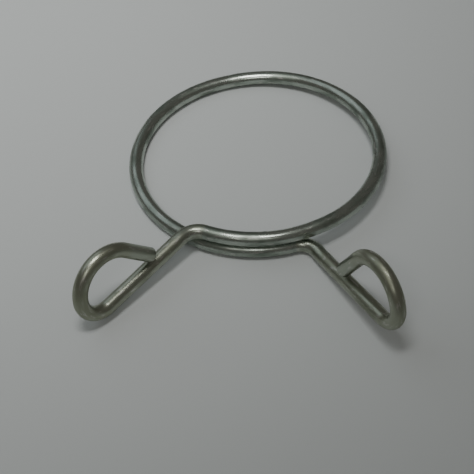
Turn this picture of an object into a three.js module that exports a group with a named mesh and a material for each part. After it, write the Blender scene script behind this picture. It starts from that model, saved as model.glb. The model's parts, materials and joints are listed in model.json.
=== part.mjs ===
// Wire hose clamp: one round spring wire wound once round the hose, its ends crossing at the front
// and each bent outwards into an arm and an upright finger loop (an ear).
// Frame: millimetres, +Z up along the ring's axis, origin on that axis in the plane the clamp lies on.
// The ears are at the front (-Y). Ring angles are degrees from the front, growing towards +X.
import * as THREE from "three";

// Wire
const wireDiameter = 3.0;
const sectionSides = 12;

// Ring: its free size, and where the wire's two ends leave it
const ringRadius = 26.0; // axis to the wire's centreline
const turnClearance = 0.3; // between the two turns where one lies on the other
const upperEndAngle = -26.5; // the upper end leaves the ring here, towards -X
const lowerEndAngle = 13.4; // the lower end leaves the ring here, towards +X
const climbStart = 25; // the wire is level at the top up to here
const climbEnd = 190; // and level at the bottom from here on

// The ring bends open evenly; it is divided into stretches that hinge on each other
const stretchAngle = 36;
const firstJointAngle = 18;
const splitGap = 0.3; // between neighbouring stretches of the wire

// How finely the curved stretches are divided along the wire
const degreesPerRingStep = 4;
const shoulderSteps = 10;
const outerBendSteps = 12;
const crownSteps = 16;
const straightSteps = 1;

// Shoulders and arms
const shoulderRadius = 4.0;
const slopeBendRadius = 12.0;
const upperArm = { turn: 71.5, slope: -6.5, length: 19.7, lean: 12 };
const lowerArm = { turn: 77, slope: 10, length: 21.0, lean: 6 };

// Ears: a tight outer bend, a wider crown, and a straight leg that comes back down to the arm
const outerBendRadius = 4.4;
const outerBendAngle = 100;
const crownRadius = 7.2;
const crownAngle = 131;
const sideSetAngle = 2.4; // turns the loop a little, so that its free end comes down inboard
const endClearance = 0.3; // between the free end and the arm under it

// Worked out from the above
const wireRadius = wireDiameter / 2;
const cornerRadius = wireRadius / Math.cos(Math.PI / sectionSides);
const lowerLevel = wireRadius;
const upperLevel = lowerLevel + wireDiameter + turnClearance;
const backAngle = 180;
const lowerEndRun = 360 + lowerEndAngle;
const up = new THREE.Vector3(0, 0, 1);

// Height of the wire's centreline at a ring angle that runs from the upper end round to the lower.
function ringHeight(angle) {
  const share = THREE.MathUtils.clamp((angle - climbStart) / (climbEnd - climbStart), 0, 1);
  return THREE.MathUtils.lerp(upperLevel, lowerLevel, share);
}

function ringPoint(angle) {
  const turn = THREE.MathUtils.degToRad(angle);
  return new THREE.Vector3(ringRadius * Math.sin(turn), -ringRadius * Math.cos(turn), ringHeight(angle));
}

class RingCurve extends THREE.Curve {
  constructor(startAngle, endAngle) {
    super();
    this.startAngle = startAngle;
    this.endAngle = endAngle;
  }
  getPoint(t, target = new THREE.Vector3()) {
    return target.copy(ringPoint(THREE.MathUtils.lerp(this.startAngle, this.endAngle, t)));
  }
}

// A round bend: spoke runs from the bend's centre to the start of the wire.
class BendCurve extends THREE.Curve {
  constructor(centre, axis, spoke, angle) {
    super();
    this.centre = centre;
    this.axis = axis;
    this.spoke = spoke;
    this.angle = angle;
  }
  getPoint(t, target = new THREE.Vector3()) {
    return target.copy(this.spoke).applyAxisAngle(this.axis, this.angle * t).add(this.centre);
  }
}

// The part of a curve that is left after a length is taken off each end.
class TrimmedCurve extends THREE.Curve {
  constructor(curve, offStart, offEnd) {
    super();
    this.curve = curve;
    this.first = offStart / curve.getLength();
    this.last = 1 - offEnd / curve.getLength();
  }
  getPoint(t, target = new THREE.Vector3()) {
    return this.curve.getPointAt(THREE.MathUtils.lerp(this.first, this.last, t), target);
  }
}

// Lays the wire out from a point and a heading, as a wire bender does.
class WireRun {
  constructor(point, heading) {
    this.point = point.clone();
    this.heading = heading.clone().normalize();
  }
  rightHand() {
    return new THREE.Vector3().crossVectors(this.heading, up).normalize();
  }
  straight(length) {
    const start = this.point.clone();
    this.point.addScaledVector(this.heading, length);
    return new THREE.LineCurve3(start, this.point.clone());
  }
  bend(radius, degrees, axis) {
    const angle = THREE.MathUtils.degToRad(degrees);
    const toCentre = new THREE.Vector3().crossVectors(axis, this.heading).multiplyScalar(Math.sign(angle));
    const centre = this.point.clone().addScaledVector(toCentre, radius);
    const spoke = this.point.clone().sub(centre);
    const curve = new BendCurve(centre, axis.clone(), spoke, angle);
    this.point = curve.getPoint(1);
    this.heading.applyAxisAngle(axis, angle);
    return curve;
  }
}

function joined(...curves) {
  const path = new THREE.CurvePath();
  curves.forEach((curve) => path.add(curve));
  return path;
}

// The wire's section has flat sides square to its frame, so level stretches lie on a flat.
function wireSection() {
  const corners = [];
  for (let i = 0; i < sectionSides; i += 1) {
    const angle = ((i + 0.5) * 2 * Math.PI) / sectionSides;
    corners.push(new THREE.Vector2(cornerRadius * Math.cos(angle), cornerRadius * Math.sin(angle)));
  }
  return new THREE.Shape(corners);
}

const section = wireSection();
const group = new THREE.Group();

function addStretch(name, curve, steps, offStart = splitGap / 2, offEnd = splitGap / 2) {
  const extrudePath = new TrimmedCurve(curve, offStart, offEnd);
  const geometry = new THREE.ExtrudeGeometry(section, { steps, extrudePath, bevelEnabled: false });
  const material = new THREE.MeshStandardMaterial({ color: 0x8b9089, roughness: 0.36, metalness: 1 });
  const mesh = new THREE.Mesh(geometry, material);
  mesh.name = name;
  group.add(mesh);
}

// Ring stretches from the back round to each end: the upper one by the right, the lower by the left.
const upperNames = ["ring_back_right", "ring_right_rear", "ring_right_front", "ring_front_right"];
const lowerNames = ["ring_back_left", "ring_left_rear", "ring_left_front", "ring_front_left"];
const jointAngles = { right: [], left: [] };
for (let fromFront = upperNames.length; fromFront >= 0; fromFront -= 1) {
  jointAngles.right.push(firstJointAngle + fromFront * stretchAngle);
  jointAngles.left.push(2 * backAngle - firstJointAngle - fromFront * stretchAngle);
}

function addRingStretch(name, startAngle, endAngle) {
  const steps = Math.round(Math.abs(endAngle - startAngle) / degreesPerRingStep);
  addStretch(name, new RingCurve(startAngle, endAngle), steps);
}

addRingStretch("ring_back", jointAngles.right[0], jointAngles.left[0]);
upperNames.forEach((name, i) => addRingStretch(name, jointAngles.right[i], jointAngles.right[i + 1]));
lowerNames.forEach((name, i) => addRingStretch(name, jointAngles.left[i], jointAngles.left[i + 1]));
addRingStretch("ring_front_upper", jointAngles.right.at(-1), upperEndAngle);
addRingStretch("ring_front_lower", jointAngles.left.at(-1), lowerEndRun);

// How far the leg runs from the crown until its cut end stands just clear of the arm.
function legLength() {
  const first = THREE.MathUtils.degToRad(outerBendAngle);
  const last = THREE.MathUtils.degToRad(outerBendAngle + crownAngle);
  const crownEnd = outerBendRadius * (1 - Math.cos(first)) + crownRadius * (Math.cos(first) - Math.cos(last));
  const endHeight = cornerRadius * (1 + Math.abs(Math.cos(last))) + endClearance;
  return (crownEnd - endHeight) / Math.abs(Math.sin(last));
}

// One end of the wire beyond the ring. side is -1 where the wire leaves towards -X, +1 towards +X.
function addEnd(prefix, side, leavesAt, arm) {
  const turn = THREE.MathUtils.degToRad(leavesAt);
  const heading = new THREE.Vector3(side * Math.cos(turn), side * Math.sin(turn), 0);
  const run = new WireRun(ringPoint(leavesAt), heading);
  const shoulder = joined(
    run.bend(shoulderRadius, -side * arm.turn, up),
    run.bend(slopeBendRadius, arm.slope, run.rightHand()),
  );
  addStretch(`${prefix}_shoulder`, shoulder, shoulderSteps);
  const loopAxis = run.rightHand();
  addStretch(`${prefix}_arm`, run.straight(arm.length), straightSteps);

  const armHeading = run.heading.clone();
  loopAxis.applyAxisAngle(armHeading, THREE.MathUtils.degToRad(-side * arm.lean));
  const loopUp = new THREE.Vector3().crossVectors(loopAxis, armHeading);
  const sideSet = run.bend(outerBendRadius, side * sideSetAngle, loopUp);
  loopAxis.applyAxisAngle(loopUp, THREE.MathUtils.degToRad(side * sideSetAngle));
  const outerBend = joined(sideSet, run.bend(outerBendRadius, outerBendAngle, loopAxis));
  addStretch(`${prefix}_ear_outer_bend`, outerBend, outerBendSteps);
  addStretch(`${prefix}_ear_crown`, run.bend(crownRadius, crownAngle, loopAxis), crownSteps);
  addStretch(`${prefix}_ear_leg`, run.straight(legLength()), straightSteps, splitGap / 2, 0);
}

addEnd("left", -1, upperEndAngle, upperArm);
addEnd("right", 1, lowerEndRun, lowerArm);

export default group;
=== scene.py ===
import json
import math

import bmesh
import bpy
from mathutils import Matrix, Vector
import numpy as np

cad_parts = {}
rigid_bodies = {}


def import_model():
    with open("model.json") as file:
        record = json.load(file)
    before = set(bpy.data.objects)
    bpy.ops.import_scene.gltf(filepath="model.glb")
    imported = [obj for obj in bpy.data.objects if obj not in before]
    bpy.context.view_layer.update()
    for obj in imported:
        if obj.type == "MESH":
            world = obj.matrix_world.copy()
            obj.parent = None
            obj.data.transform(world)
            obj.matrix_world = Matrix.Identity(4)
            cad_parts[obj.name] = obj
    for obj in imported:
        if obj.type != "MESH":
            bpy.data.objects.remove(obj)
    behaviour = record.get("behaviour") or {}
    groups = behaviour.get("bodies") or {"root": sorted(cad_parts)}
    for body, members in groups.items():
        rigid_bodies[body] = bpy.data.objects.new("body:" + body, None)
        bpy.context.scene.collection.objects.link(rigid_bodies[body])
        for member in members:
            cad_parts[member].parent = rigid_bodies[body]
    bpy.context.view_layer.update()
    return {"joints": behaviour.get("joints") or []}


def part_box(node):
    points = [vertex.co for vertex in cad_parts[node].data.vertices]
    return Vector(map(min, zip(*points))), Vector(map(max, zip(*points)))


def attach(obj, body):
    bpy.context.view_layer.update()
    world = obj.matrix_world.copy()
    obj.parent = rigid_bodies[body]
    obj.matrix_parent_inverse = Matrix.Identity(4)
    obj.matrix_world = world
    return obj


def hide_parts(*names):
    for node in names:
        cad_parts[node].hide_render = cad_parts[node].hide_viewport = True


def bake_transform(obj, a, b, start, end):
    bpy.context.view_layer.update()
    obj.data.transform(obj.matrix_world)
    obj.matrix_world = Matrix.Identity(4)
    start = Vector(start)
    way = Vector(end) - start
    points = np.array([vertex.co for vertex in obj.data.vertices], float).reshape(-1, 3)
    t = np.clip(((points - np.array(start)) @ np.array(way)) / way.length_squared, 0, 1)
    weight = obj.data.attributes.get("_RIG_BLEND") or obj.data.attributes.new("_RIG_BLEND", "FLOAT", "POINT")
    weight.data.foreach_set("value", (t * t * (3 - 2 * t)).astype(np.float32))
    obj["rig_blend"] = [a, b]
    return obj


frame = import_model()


# ---------------------------------------------------------------------------------------------
# The ring. Drawn spring-steel wire with a thin zinc plating is coiled once round: level from the
# back round the left to the front, and climbing round the right, so that its ends cross in front.
# It bends open between its stretches, so each length here crosses one of the frame's hinges.
# ---------------------------------------------------------------------------------------------
MM = 0.001
SECTION_SIDES = 48
RING_STEP = 1.0  # degrees
SEAM_INSET = 3.5  # degrees of ring at each end of a length that follow one body only
UP = Vector((0, 0, 1))

low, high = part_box("ring_left_front")
wire_radius = (high.z - low.z) / 2


def ring_angle(point):
    """Degrees round the ring from the front, growing towards +X."""
    return math.degrees(math.atan2(point[0], -point[1])) % 360


hinges = {joint["name"]: joint for joint in frame["joints"]}
right_chain = [joint for joint in frame["joints"] if joint["axis"][2] > 0]
left_chain = [joint for joint in frame["joints"] if joint["axis"][2] < 0]
ring_radius = math.hypot(*right_chain[0]["pos_m"][:2])
upper_level = right_chain[-1]["pos_m"][2]
lower_level = left_chain[0]["pos_m"][2]
climb_from, climb_to = right_chain[-2]["pos_m"], right_chain[0]["pos_m"]
climb_rate = (climb_from[2] - climb_to[2]) / (ring_angle(climb_to) - ring_angle(climb_from))
half_stretch = (ring_angle(right_chain[0]["pos_m"]) - ring_angle(right_chain[1]["pos_m"])) / 2


def ring_height(angle):
    climbed = climb_from[2] - climb_rate * (angle - ring_angle(climb_from))
    return min(upper_level, max(lower_level, climbed))


def ring_point(angle):
    turn = math.radians(angle)
    return Vector((ring_radius * math.sin(turn), -ring_radius * math.cos(turn), ring_height(angle)))


# The plating is a slightly greenish grey with duller patches. Drawing leaves fine lines along the
# wire, and the bends, where the tool pressed, are yellower and rougher.
ZINC = (0.43, 0.475, 0.425, 1)
DULL_ZINC = (0.215, 0.25, 0.212, 1)
YELLOWED_ZINC = (0.32, 0.325, 0.235, 1)
BARE_STEEL = (0.62, 0.61, 0.58, 1)
LINE_GRAIN = (9000, 9000, 180)  # waves to the metre, twice across the wire and once along it
PATCH_GRAIN = (420, 420, 150)
SCUFF_GRAIN = (2200, 2200, 480)
PATCH_EDGE = (0.38, 0.66)
SCUFF_EDGE = (0.56, 0.70)
YELLOW_AT_BENDS = 0.65
BARE_AT_SCUFFS = 0.6
PLATING_ROUGHNESS = (0.22, 0.40)
BEND_ROUGHNESS = 0.10  # added where the wire is worked hardest
LINE_STRENGTH = 0.6
LINE_DEPTH = 0.03 * MM


def add_node(tree, kind, settings=None, **inputs):
    """Adds a node and fills or links its inputs, given by name or as _ and their number."""
    node = tree.nodes.new(kind)
    for name, value in (settings or {}).items():
        setattr(node, name, value)
    for name, value in inputs.items():
        socket = node.inputs[int(name[1:])] if name[0] == "_" else node.inputs[name.replace("_", " ")]
        if isinstance(value, bpy.types.NodeSocket):
            tree.links.new(value, socket)
        else:
            socket.default_value = value
    return node


def stretched_noise(tree, place, grain, detail):
    """A noise with a grain of its own in each direction."""
    scaled = add_node(tree, "ShaderNodeVectorMath", {"operation": "MULTIPLY"}, _0=place, _1=grain)
    noise = add_node(tree, "ShaderNodeTexNoise", None, Vector=scaled.outputs[0], Scale=1.0, Detail=detail)
    return noise.outputs["Fac"]


def ramp(tree, value, low, high, at_low=0.0, at_high=1.0):
    node = add_node(tree, "ShaderNodeMapRange", {"interpolation_type": "SMOOTHSTEP"}, Value=value)
    for index, number in enumerate((low, high, at_low, at_high), start=1):
        node.inputs[index].default_value = number
    return node.outputs["Result"]


def blend_colours(tree, share, first, second):
    mix = add_node(tree, "ShaderNodeMix", {"data_type": "RGBA"}, _0=share, _6=first, _7=second)
    return mix.outputs[2]


def new_metal(name):
    metal = bpy.data.materials.new(name)
    metal.use_nodes = True
    metal.node_tree.nodes["Principled BSDF"].inputs["Metallic"].default_value = 1.0
    return metal


def finish_metal(metal, colour, roughness, height, strength, depth):
    """Links a metal's colour and roughness, and a bump of its own, to its shader."""
    tree = metal.node_tree
    shader = tree.nodes["Principled BSDF"]
    bump = add_node(tree, "ShaderNodeBump", None, Strength=strength, Distance=depth, Height=height)
    tree.links.new(colour, shader.inputs["Base Color"])
    tree.links.new(roughness, shader.inputs["Roughness"])
    tree.links.new(bump.outputs["Normal"], shader.inputs["Normal"])


drawn = bpy.data.node_groups.new("drawn_surface", "ShaderNodeTree")
drawn.interface.new_socket("Place", in_out="INPUT", socket_type="NodeSocketVector")
for output in ("Lines", "Patches", "Scuffs"):
    drawn.interface.new_socket(output, in_out="OUTPUT", socket_type="NodeSocketFloat")
drawn_in = drawn.nodes.new("NodeGroupInput").outputs["Place"]
drawn_out = drawn.nodes.new("NodeGroupOutput")
lines = stretched_noise(drawn, drawn_in, LINE_GRAIN, detail=4.0)
patches = stretched_noise(drawn, drawn_in, PATCH_GRAIN, detail=5.0)
scuffs = stretched_noise(drawn, drawn_in, SCUFF_GRAIN, detail=6.0)
drawn.links.new(lines, drawn_out.inputs["Lines"])
drawn.links.new(ramp(drawn, patches, *PATCH_EDGE), drawn_out.inputs["Patches"])
drawn.links.new(ramp(drawn, scuffs, *SCUFF_EDGE), drawn_out.inputs["Scuffs"])

plating = new_metal("zinc_plated_wire")
tree = plating.node_tree
place = add_node(tree, "ShaderNodeAttribute", {"attribute_name": "wire_place"}).outputs["Vector"]
worked = add_node(tree, "ShaderNodeAttribute", {"attribute_name": "bend_work"}).outputs["Fac"]
surface = add_node(tree, "ShaderNodeGroup", {"node_tree": drawn}, Place=place).outputs
colour = blend_colours(tree, surface["Patches"], ZINC, DULL_ZINC)
colour = blend_colours(tree, ramp(tree, worked, 0, 1, 0, YELLOW_AT_BENDS), colour, YELLOWED_ZINC)
colour = blend_colours(tree, ramp(tree, surface["Scuffs"], 0, 1, 0, BARE_AT_SCUFFS), colour, BARE_STEEL)
patchy = ramp(tree, surface["Patches"], 0, 1, *PLATING_ROUGHNESS)
wear = add_node(tree, "ShaderNodeMath", {"operation": "MULTIPLY_ADD"},
                _0=worked, _1=BEND_ROUGHNESS, _2=patchy)
finish_metal(plating, colour, wear.outputs[0], surface["Lines"], LINE_STRENGTH, LINE_DEPTH)


class WireEnd:
    """The wire's open end as it is bent: where it is, where it points and the length behind it."""

    def __init__(self, name, angle, way):
        """Starts a length of wire as an open round section across the ring at an angle."""
        bpy.ops.object.select_all(action="DESELECT")
        bpy.ops.mesh.primitive_circle_add(vertices=SECTION_SIDES, radius=wire_radius, fill_type="NOTHING")
        self.piece = bpy.context.object
        self.piece.name = self.piece.data.name = name
        self.piece.data.attributes.new("wire_place", "FLOAT_VECTOR", "POINT")
        self.piece.data.attributes.new("bend_work", "FLOAT", "POINT")
        place = self.piece.data.attributes["wire_place"]
        self.along = ring_radius * math.radians(angle)
        for vertex in self.piece.data.vertices:
            place.data[vertex.index].vector = (vertex.co.x, vertex.co.y, self.along)
        turn = math.radians(angle)
        self.angle = angle
        self.way = way
        self.point = ring_point(angle)
        self.heading = Vector((math.cos(turn), math.sin(turn), 0)) * way
        self.piece.rotation_euler = (0, math.pi / 2, turn)
        self.piece.location = self.point
        bpy.ops.object.transform_apply(location=True, rotation=True, scale=True)
        bpy.ops.object.mode_set(mode="EDIT")
        bpy.ops.mesh.select_mode(type="VERT")
        bpy.ops.mesh.select_all(action="SELECT")

    def record(self, length, work):
        """Writes the wire's length, and how hard it was worked, on the section just made."""
        self.along += self.way * length
        shape = bmesh.from_edit_mesh(self.piece.data)
        place = shape.verts.layers.float_vector["wire_place"]
        press = shape.verts.layers.float["bend_work"]
        for vertex in shape.verts:
            if vertex.select:
                vertex[place] = (vertex[place].x, vertex[place].y, self.along)
                vertex[press] = work

    def bend(self, axis, degrees, radius, step, work=0.0):
        """Bends the wire on a round former, a step at a time. The spin operator turns clockwise."""
        steps = max(1, math.ceil(abs(degrees) / step))
        turn = math.radians(degrees) / steps
        rotation = Matrix.Rotation(turn, 3, axis)
        for _ in range(steps):
            centre = self.point + axis.cross(self.heading) * math.copysign(radius, degrees)
            bpy.ops.mesh.spin(steps=1, angle=-turn, center=centre, axis=axis, use_auto_merge=False)
            self.point = centre + rotation @ (self.point - centre)
            self.heading = rotation @ self.heading
            self.record(radius * abs(turn), work)

    def coil(self, degrees):
        """Follows the ring, climbing or dropping to its height at each step."""
        steps = max(1, math.ceil(abs(degrees) / RING_STEP))
        turn = self.way * abs(degrees) / steps
        for _ in range(steps):
            self.bend(UP, turn, ring_radius, step=360)
            self.angle += turn
            rise = ring_height(self.angle) - self.point.z
            bpy.ops.transform.translate(value=(0, 0, rise))
            self.point.z += rise

    def straight(self, length, work, step=1.0 * MM):
        steps = max(1, round(length / step))
        move = self.heading * length / steps
        for _ in range(steps):
            self.extrude(move)
            self.record(length / steps, work)

    def extrude(self, move):
        bpy.ops.mesh.extrude_region_move(TRANSFORM_OT_translate={"value": move})
        self.point += move

    def close(self, *finishes):
        """Fills what is open, and shades the wire smooth up to the edge of each flat end."""
        for finish in finishes:
            self.piece.data.materials.append(finish)
        bpy.ops.mesh.select_all(action="DESELECT")
        bpy.ops.mesh.select_non_manifold()
        bpy.ops.mesh.edge_face_add()
        bpy.ops.mesh.select_all(action="SELECT")
        bpy.ops.mesh.normals_make_consistent(inside=False)
        bpy.ops.object.mode_set(mode="OBJECT")
        bpy.ops.object.shade_smooth_by_angle(angle=math.radians(40))


stood_for = {
    "flex_back_right": ["ring_back", "ring_back_right"],
    "flex_right_rear": ["ring_right_rear"],
    "flex_right_front": ["ring_right_front"],
    "flex_front_right": ["ring_front_right"],
    "flex_upper_end": ["ring_front_upper"],
    "flex_back_left": ["ring_back_left"],
    "flex_left_rear": ["ring_left_rear"],
    "flex_left_front": ["ring_left_front"],
    "flex_front_left": ["ring_front_left"],
    "flex_lower_end": ["ring_front_lower"],
}
for name, nodes in stood_for.items():
    hinge = hinges[name]
    middle = ring_angle(hinge["pos_m"])
    first, last = middle - half_stretch, middle + half_stretch
    length = WireEnd("wire_at_" + name, first, 1)
    length.coil(last - first)
    length.close(plating)
    back_side, front_side = (last, first) if hinge in right_chain else (first, last)
    inset = math.copysign(SEAM_INSET, front_side - back_side)
    start, end = ring_point(back_side + inset), ring_point(front_side - inset)
    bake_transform(length.piece, hinge["parent"], hinge["child"], start=start, end=end)
    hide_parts(*nodes)


# ---------------------------------------------------------------------------------------------
# The two ends. The same wire is bent out of the ring into an arm, then tightly up and over a
# wider former into a finger loop, and sheared off where it comes back down on to its own arm.
# The left one is the wire's upper end, the right one its lower end.
# ---------------------------------------------------------------------------------------------
SHOULDER_RADIUS = 4.0 * MM
SLOPE_BEND_RADIUS = 12.0 * MM
OUTER_BEND_RADIUS = 4.4 * MM
OUTER_BEND = 100  # degrees
CROWN_RADIUS = 7.2 * MM
CROWN = 131
SIDE_SET = 2.4  # degrees sideways, which brings the cut end down inboard
END_CLEARANCE = 0.3 * MM
FRAME_SECTION_SIDES = 12
TIGHT_STEP = 2.5  # degrees

SHEAR_ROUNDING = 0.16 * MM
ROUNDED_RIM = ((0.45, 0.985), (0.35, 0.955), (0.20, 0.90))  # share of its length, shrinking to
RIM_WIDTH = 0.18 * MM
TORN_INSET = 0.25 * MM
TORN_DEPTH = 0.03 * MM

DARK_STEEL = (0.30, 0.29, 0.27, 1)
TORN_GRAIN = (5200, 5200, 1900)

cut_face = new_metal("sheared_end")
tree = cut_face.node_tree
spot = add_node(tree, "ShaderNodeTexCoord").outputs["Object"]
torn = stretched_noise(tree, spot, TORN_GRAIN, detail=6.0)
steel = blend_colours(tree, ramp(tree, torn, 0.35, 0.6), DARK_STEEL, BARE_STEEL)
finish_metal(cut_face, steel, ramp(tree, torn, 0.3, 0.7, 0.55, 0.32), torn, 0.5, 0.06 * MM)


def leg_length():
    """How far the leg runs from the crown until its cut end stands just clear of the arm."""
    first, last = math.radians(OUTER_BEND), math.radians(OUTER_BEND + CROWN)
    crown_end = OUTER_BEND_RADIUS * (1 - math.cos(first))
    crown_end += CROWN_RADIUS * (math.cos(first) - math.cos(last))
    corner = wire_radius / math.cos(math.pi / FRAME_SECTION_SIDES)
    return (crown_end - corner * (1 + abs(math.cos(last))) - END_CLEARANCE) / abs(math.sin(last))


def shear(end):
    """Rounds the rim a little, as the shear drags it, and closes the end with a torn face."""
    for share, size in ROUNDED_RIM:
        end.extrude(end.heading * SHEAR_ROUNDING * share)
        bpy.ops.transform.resize(value=(size, size, size), center_override=end.point)
    bpy.ops.mesh.edge_face_add()
    bpy.ops.mesh.inset(thickness=RIM_WIDTH)
    bpy.ops.mesh.inset(thickness=TORN_INSET, depth=-TORN_DEPTH)
    shape = bmesh.from_edit_mesh(end.piece.data)
    for face in shape.faces:
        at_the_cut = (face.calc_center_median() - end.point).length < wire_radius
        if at_the_cut and face.normal.dot(end.heading) > 0.8:
            face.material_index = 1


def make_end(name, angle, way, leaves_after, arm, body):
    """One end of the wire. way is -1 where the wire runs on towards -X, and +1 towards +X."""
    end = WireEnd(name, angle, way)
    end.coil(leaves_after)
    end.bend(UP, -way * arm["turn"], SHOULDER_RADIUS, TIGHT_STEP, work=0.5)
    end.bend(end.heading.cross(UP).normalized(), arm["slope"], SLOPE_BEND_RADIUS, 1, work=0.6)
    loop_axis = end.heading.cross(UP).normalized()
    end.straight(arm["length"], work=0.75)
    loop_axis.rotate(Matrix.Rotation(math.radians(-way * arm["lean"]), 3, end.heading))
    loop_up = loop_axis.cross(end.heading)
    end.bend(loop_up, way * SIDE_SET, OUTER_BEND_RADIUS, 1, work=0.6)
    loop_axis.rotate(Matrix.Rotation(math.radians(way * SIDE_SET), 3, loop_up))
    end.bend(loop_axis, OUTER_BEND, OUTER_BEND_RADIUS, TIGHT_STEP, work=1.0)
    end.bend(loop_axis, CROWN, CROWN_RADIUS, TIGHT_STEP, work=0.9)
    end.straight(leg_length() - SHEAR_ROUNDING, work=0.6)
    shear(end)
    end.close(plating, cut_face)
    side = name.split("_")[0]
    lengths = ("shoulder", "arm", "ear_outer_bend", "ear_crown", "ear_leg")
    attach(end.piece, body)
    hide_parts(*(side + "_" + length for length in lengths))


# The arm's turn out of the ring, its slope and the loop's lean are in degrees.
upper_arm = {"turn": 71.5, "slope": -6.5, "length": 19.7 * MM, "lean": 12}
lower_arm = {"turn": 77, "slope": 10, "length": 21.0 * MM, "lean": 6}
make_end("left_end", 0, -1, 26.5, upper_arm, "upper_end")
make_end("right_end", 360, 1, 13.4, lower_arm, "lower_end")


# ---------------------------------------------------------------------------------------------
# The setting: a plain pale matt table, a soft light overhead, a larger and weaker one high at the
# back left, a narrow weak one at the front, and a dim room round them.
# ---------------------------------------------------------------------------------------------
TABLE_COLOUR = (0.640, 0.672, 0.668, 1)
ROOM_COLOUR = (0.128, 0.122, 0.114, 1)

bpy.ops.object.select_all(action="DESELECT")
bpy.ops.mesh.primitive_plane_add(size=4.0, location=(0, 0, 0))
table = bpy.context.object
table.name = "table"
paper = bpy.data.materials.new("pale_table")
paper.use_nodes = True
paper.node_tree.nodes["Principled BSDF"].inputs["Base Color"].default_value = TABLE_COLOUR
paper.node_tree.nodes["Principled BSDF"].inputs["Roughness"].default_value = 0.85
table.data.materials.append(paper)


def soft_light(name, location, aim, size, power, colour, spread=180):
    light = bpy.data.lights.new(name, "AREA")
    light.shape = "RECTANGLE"
    light.size, light.size_y = size
    light.energy = power
    light.color = colour
    light.spread = math.radians(spread)
    lamp = bpy.data.objects.new(name, light)
    bpy.context.scene.collection.objects.link(lamp)
    lamp.location = location
    lamp.rotation_euler = (Vector(aim) - Vector(location)).to_track_quat("-Z", "Y").to_euler()


soft_light("overhead", (-0.05, -0.05, 0.42), (-0.10, 0.13, 0), (0.14, 0.11), 0.185, (1.0, 0.993, 0.98),
           spread=70)
soft_light("window_side", (-0.55, 0.42, 0.75), (0, 0, 0), (1.0, 0.8), 1.2, (0.84, 0.95, 1.0))
soft_light("front_fill", (-0.06, -0.30, 0.33), (0, -0.02, 0), (0.14, 0.035), 0.13, (1.0, 0.985, 0.96))
room = bpy.data.worlds.new("dim_room")
bpy.context.scene.world = room
room.use_nodes = True
room.node_tree.nodes["Background"].inputs["Color"].default_value = ROOM_COLOUR
room.node_tree.nodes["Background"].inputs["Strength"].default_value = 1.0


# ---------------------------------------------------------------------------------------------
# The camera looks down at the front of the ring, a little rolled.
# ---------------------------------------------------------------------------------------------
CAMERA_ELEVATION = 48.215
CAMERA_ROLL = -3.599
CAMERA_DISTANCE = 0.250
CAMERA_AIM = Vector((-5.396 * MM, -20.748 * MM, 0))

camera = bpy.data.objects.new("camera", bpy.data.cameras.new("camera"))
bpy.context.scene.collection.objects.link(camera)
camera.data.sensor_width = 36.0
camera.data.lens = 93.06
camera.data.clip_start = 0.01
turned = Matrix.Rotation(math.radians(90 - CAMERA_ELEVATION), 4, "X")
turned = turned @ Matrix.Rotation(math.radians(CAMERA_ROLL), 4, "Z")
back = turned.to_3x3() @ Vector((0, 0, 1))
camera.matrix_world = Matrix.Translation(CAMERA_AIM + back * CAMERA_DISTANCE) @ turned
bpy.context.scene.camera = camera
